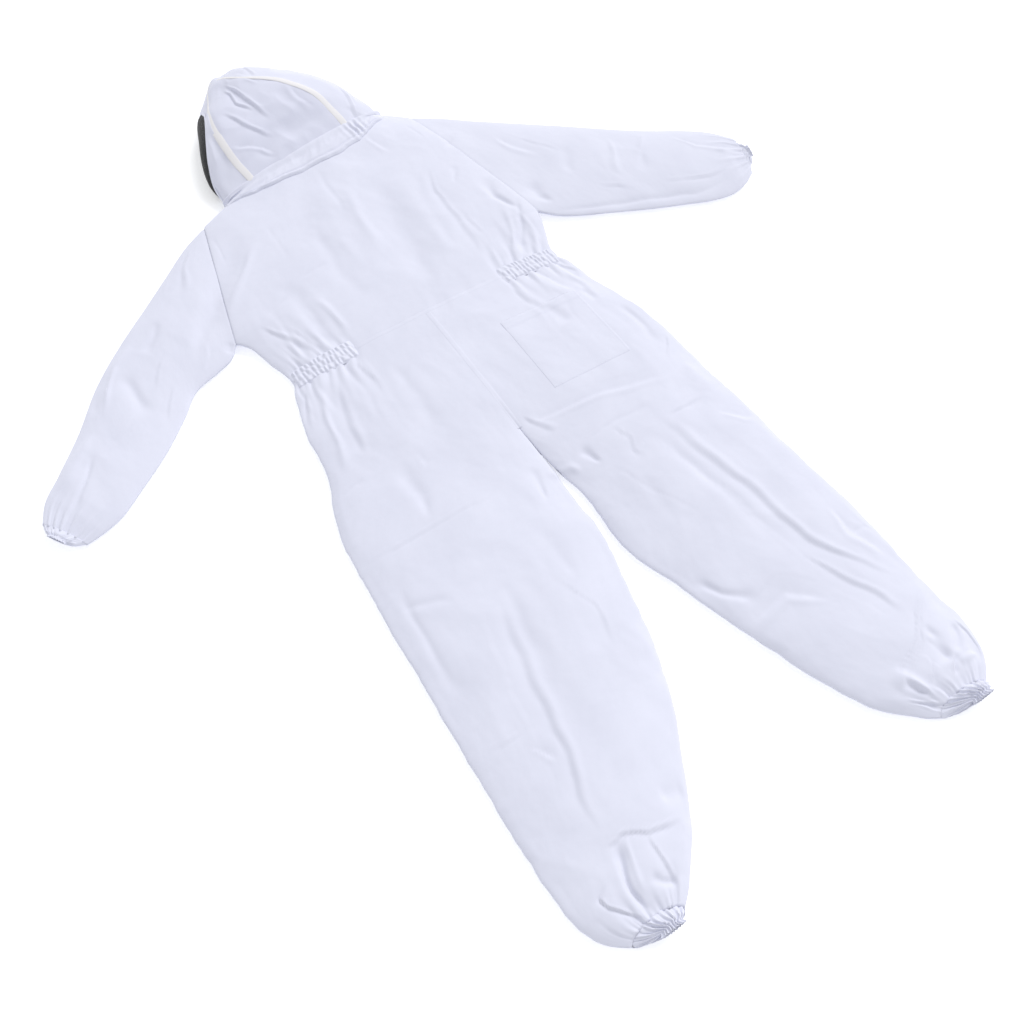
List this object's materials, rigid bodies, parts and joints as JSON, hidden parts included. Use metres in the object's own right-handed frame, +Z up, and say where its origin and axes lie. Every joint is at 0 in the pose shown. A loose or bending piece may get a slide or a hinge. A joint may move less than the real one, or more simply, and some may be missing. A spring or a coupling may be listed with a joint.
{
  "type": "beekeeping suit",
  "caption": "One-piece beekeeping overall with attached hooped hood and net veil, zip front and elasticated waist, wrists and ankles, laid flat on its front.",
  "frame": {"origin": "middle of the footprint, on the surface the suit lies on", "axes": "+X towards the wearer's right hand, +Y towards the hood, +Z up out of the back"},
  "size_m": [1.535, 1.8441, 0.1052],
  "materials": {
    "cloth": "plain-weave polycotton, faint lavender-white, matt with a slight sheen",
    "binding": "cream hoop casing tape, matt",
    "elastic": "ribbed white elastic",
    "net": "open black net",
    "zip_tape": "white herringbone tape",
    "zip_teeth": "moulded white teeth",
    "zip_metal": "white enamelled zinc",
    "hoop_rod": "spring steel"
  },
  "bodies": {
    "torso": {"back_bodice": "cloth", "front_bodice_left": "cloth", "front_bodice_right": "cloth", "trouser_back_left": "cloth", "trouser_back_right": "cloth", "trouser_front_left": "cloth", "trouser_front_right": "cloth", "waist_seam_band": "cloth", "waist_elastic_left": "cloth", "waist_elastic_right": "cloth", "seat_pocket": "cloth", "collar_band": "cloth", "front_zip_tape_left": "zip_tape", "front_zip_tape_right": "zip_tape", "front_zip_teeth_left": "zip_teeth", "front_zip_teeth_right": "zip_teeth", "front_zip_bottom_stop": "zip_metal", "front_zip_top_stops": "zip_metal", "neck_zip_tape_lower": "zip_tape", "neck_zip_teeth_lower": "zip_teeth"},
    "front_slider": {"front_zip_slider": "zip_metal"},
    "front_pull": {"front_zip_pull": "zip_metal"},
    "neck_slider_left": {"neck_zip_slider_left": "zip_metal"},
    "neck_pull_left": {"neck_zip_pull_left": "zip_metal"},
    "neck_slider_right": {"neck_zip_slider_right": "zip_metal"},
    "neck_pull_right": {"neck_zip_pull_right": "zip_metal"},
    "hood": {"hood_back_panel": "cloth", "hood_side_left": "cloth", "hood_side_right": "cloth", "hood_crown_panel": "cloth", "rear_hoop_casing": "binding", "rear_hoop_rod": "hoop_rod", "veil_hoop_casing": "binding", "veil_hoop_rod": "hoop_rod", "veil_mesh": "net", "veil_chin_band": "cloth", "veil_brow_band": "cloth", "neck_zip_tape_upper": "zip_tape", "neck_zip_teeth_upper": "zip_teeth"},
    "left_sleeve": {"left_sleeve": "cloth", "left_cuff_casing": "cloth", "left_wrist_elastic": "elastic"},
    "right_sleeve": {"right_sleeve": "cloth", "right_cuff_casing": "cloth", "right_wrist_elastic": "elastic"},
    "left_lower_leg": {"left_shin_back": "cloth", "left_shin_front": "cloth", "left_hem_casing": "cloth", "left_ankle_elastic": "elastic"},
    "right_lower_leg": {"right_shin_back": "cloth", "right_shin_front": "cloth", "right_hem_casing": "cloth", "right_ankle_elastic": "elastic"}
  },
  "joints": [
    {"name": "hood_lift", "type": "hinge", "parent": "torso", "child": "hood", "pos_m": [-0.0151, 0.6385, 0.045], "axis": [0.9847, 0.1745, 0], "range_deg": [0, 120]},
    {"name": "left_sleeve_fold", "type": "hinge", "parent": "torso", "child": "left_sleeve", "pos_m": [-0.3056, 0.42805, 0.027], "axis": [0.2425, 0.9701, 0], "range_deg": [0, 160]},
    {"name": "right_sleeve_fold", "type": "hinge", "parent": "torso", "child": "right_sleeve", "pos_m": [0.2596, 0.448, 0.027], "axis": [0.1787, -0.9839, 0], "range_deg": [0, 150]},
    {"name": "left_leg_fold", "type": "hinge", "parent": "torso", "child": "left_lower_leg", "pos_m": [-0.2365, -0.6027, 0.029], "axis": [-1, 0, 0], "range_deg": [0, 160]},
    {"name": "right_leg_fold", "type": "hinge", "parent": "torso", "child": "right_lower_leg", "pos_m": [0.194, -0.6027, 0.029], "axis": [-1, 0, 0], "range_deg": [0, 160]},
    {"name": "front_zip", "type": "slide", "parent": "torso", "child": "front_slider", "axis": [0, -1, 0], "range_m": [0, 0.8]},
    {"name": "front_pull_swing", "type": "hinge", "parent": "front_slider", "child": "front_pull", "pos_m": [-0.0175, 0.6019, 0.0037], "axis": [1, 0, 0], "range_deg": [0, 150]},
    {"name": "neck_zip_left", "type": "slide", "parent": "torso", "child": "neck_slider_left", "axis": [-0.9847, -0.1745, 0], "range_m": [0, 0.125]},
    {"name": "neck_pull_left_swing", "type": "hinge", "parent": "neck_slider_left", "child": "neck_pull_left", "pos_m": [-0.02879, 0.63546, 0.0037], "axis": [0.1745, -0.9847, 0], "range_deg": [0, 100]},
    {"name": "neck_zip_right", "type": "slide", "parent": "torso", "child": "neck_slider_right", "axis": [0.9847, 0.1745, 0], "range_m": [0, 0.125]},
    {"name": "neck_pull_right_swing", "type": "hinge", "parent": "neck_slider_right", "child": "neck_pull_right", "pos_m": [-0.00121, 0.64034, 0.0037], "axis": [-0.1745, 0.9847, 0], "range_deg": [0, 100]}
  ]
}
